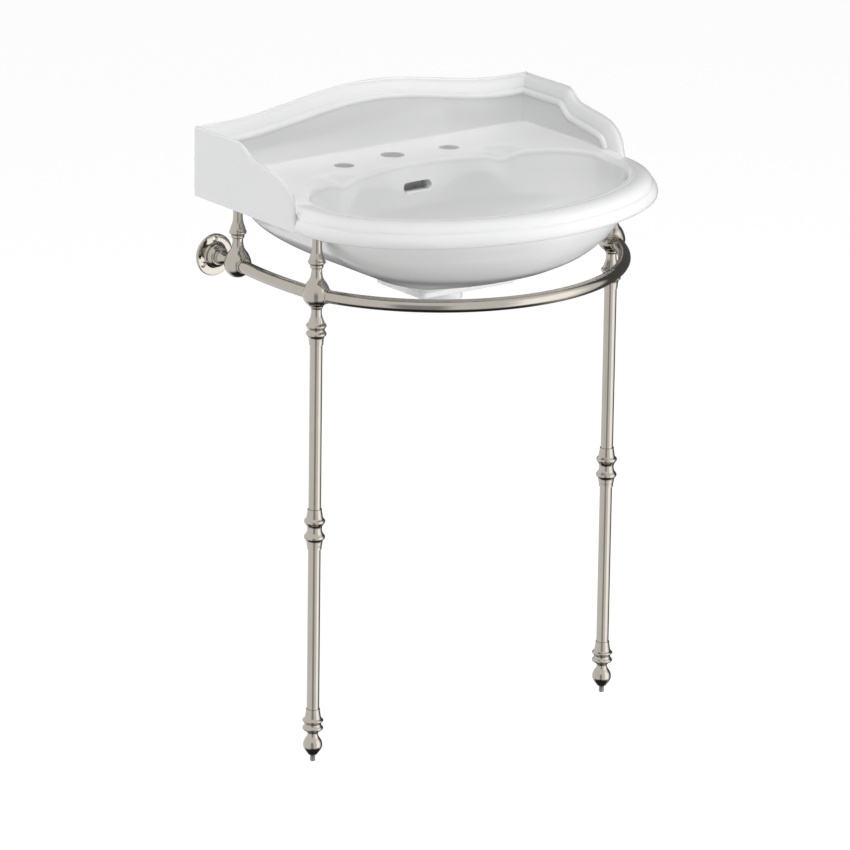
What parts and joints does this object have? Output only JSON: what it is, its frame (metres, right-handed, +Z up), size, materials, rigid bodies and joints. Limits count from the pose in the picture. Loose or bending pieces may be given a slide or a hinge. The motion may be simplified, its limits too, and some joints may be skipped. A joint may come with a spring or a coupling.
{
  "type": "washbasin with stand",
  "caption": "White ceramic washbasin with moulded back and side upstands and deck tap holes, on a turned metal stand with legs, wall arms and a bowed towel rail.",
  "frame": {"origin": "on the floor under the middle of the whole assembly, at the bottom faces of the levelling studs", "axes": "+Z up, +Y towards the wall that carries it, +X to the right of a person who stands at the basin and faces the wall"},
  "size_m": [0.6, 0.476, 0.926],
  "materials": {
    "china": "glossy white glaze",
    "nickel": "brass with polished nickel plate",
    "steel": "plain steel",
    "rubber": "black, matt"
  },
  "bodies": {
    "basin_and_stand": {"basin": "china", "towel_rail_front": "nickel", "towel_rail_left": "nickel", "towel_rail_right": "nickel", "grub_screw_side_left": "steel", "grub_screw_front_left": "steel", "grub_screw_rear_left": "steel", "grub_screw_side_right": "steel", "grub_screw_front_right": "steel", "grub_screw_rear_right": "steel", "post_pad_front_left": "rubber", "post_pad_front_right": "rubber", "post_pad_rear_left": "rubber", "post_pad_rear_right": "rubber", "post_front_left": "nickel", "post_front_right": "nickel", "post_rear_left": "nickel", "post_rear_right": "nickel", "post_stud_front_left": "steel", "post_stud_front_right": "steel", "post_stud_rear_left": "steel", "post_stud_rear_right": "steel", "front_ball_left": "nickel", "front_ball_right": "nickel", "rear_ball_left": "nickel", "rear_ball_right": "nickel", "neck_stud_left": "steel", "neck_stud_right": "steel", "neck_left": "nickel", "neck_right": "nickel", "upper_leg_tube_left": "nickel", "upper_leg_tube_right": "nickel", "leg_collar_left": "nickel", "leg_collar_right": "nickel", "lower_leg_tube_left": "nickel", "lower_leg_tube_right": "nickel", "foot_collar_left": "nickel", "foot_collar_right": "nickel", "ball_foot_left": "nickel", "ball_foot_right": "nickel", "wall_arm_left": "nickel", "wall_arm_right": "nickel", "wall_flange_left": "nickel", "wall_flange_right": "nickel"},
    "left_levelling_stud": {"levelling_stud_left": "steel"},
    "right_levelling_stud": {"levelling_stud_right": "steel"}
  },
  "joints": [
    {"name": "left_foot_levelling", "type": "slide", "parent": "basin_and_stand", "child": "left_levelling_stud", "axis": [0, 0, -1], "range_m": [-0.008, 0.012]},
    {"name": "right_foot_levelling", "type": "slide", "parent": "basin_and_stand", "child": "right_levelling_stud", "axis": [0, 0, -1], "range_m": [-0.008, 0.012]}
  ]
}
